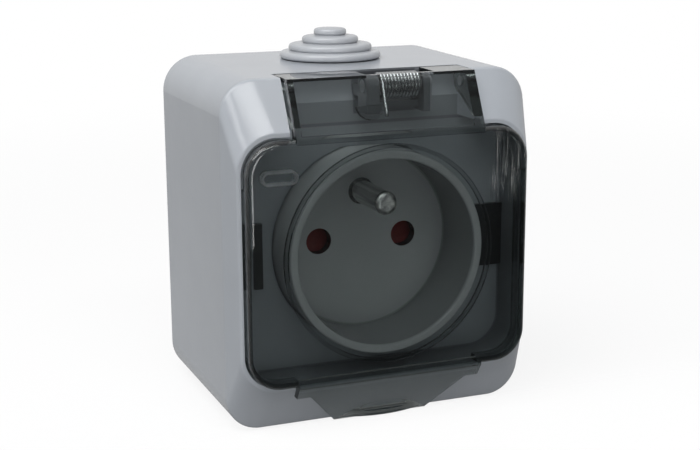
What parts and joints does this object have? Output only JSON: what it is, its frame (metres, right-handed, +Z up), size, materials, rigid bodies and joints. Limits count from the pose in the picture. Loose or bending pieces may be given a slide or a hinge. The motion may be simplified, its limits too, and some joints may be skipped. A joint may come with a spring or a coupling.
{
  "type": "outdoor weatherproof socket",
  "caption": "Surface-mounted outdoor wall socket with a grey housing, cable grommet, round earth-pin well and a sprung see-through lid.",
  "frame": {"origin": "where the socket's axis meets the wall, on the back face of the back plate", "axes": "+X to the right seen from the front, -Y out of the wall towards the user, +Z up along the wall"},
  "size_m": [0.0666, 0.05, 0.0787],
  "materials": {
    "body_plastic": "light grey moulded plastic with a soft gloss",
    "plate_plastic": "mid grey moulded plastic",
    "seal_rubber": "black sealing rubber",
    "grommet_rubber": "light grey soft rubber",
    "insert_plastic": "light grey moulded plastic, polished floor",
    "carrier_plastic": "off-white moulded plastic",
    "screw_steel": "zinc-plated steel",
    "contact_brass": "pressed brass",
    "strap_brass": "pressed brass",
    "pin_nickel": "nickel-plated brass",
    "terminal_steel": "zinc-plated steel",
    "shutter_red": "dark red moulded plastic",
    "spring_steel": "bright spring wire",
    "clip_black": "black moulded plastic",
    "lid_clear": "clear plastic with a smoke-grey tint",
    "hinge_steel": "plain steel wire"
  },
  "bodies": {
    "base": {"housing": "body_plastic", "back_plate": "plate_plastic", "housing_seal": "seal_rubber", "cable_grommet": "grommet_rubber", "socket_insert": "insert_plastic", "contact_carrier": "carrier_plastic", "insert_screws": "screw_steel", "carrier_screws": "screw_steel", "neutral_contact": "contact_brass", "line_contact": "contact_brass", "earth_strap": "strap_brass", "earth_pin": "pin_nickel", "terminal_screws": "terminal_steel", "shutter_spring": "spring_steel", "cover_clip_left": "clip_black", "cover_clip_right": "clip_black", "hinge_pin_left": "hinge_steel", "hinge_pin_right": "hinge_steel", "spring_arbor": "hinge_steel", "lid_spring": "spring_steel"},
    "lid": {"lid": "lid_clear"},
    "shutter": {"shutter": "shutter_red"}
  },
  "joints": [
    {"name": "lid_hinge", "type": "hinge", "parent": "base", "child": "lid", "pos_m": [0, -0.0404, 0.03275], "axis": [-1, 0, 0], "range_deg": [0, 105], "stiffness_Nm_per_rad": 0.008, "springref_deg": -114.59, "deforming": ["lid_spring"]},
    {"name": "shutter_slide", "type": "slide", "parent": "base", "child": "shutter", "axis": [0, 0, -1], "range_m": [0, 0.007], "stiffness_N_per_m": 60, "springref_m": -0.004, "deforming": ["shutter_spring"]}
  ]
}
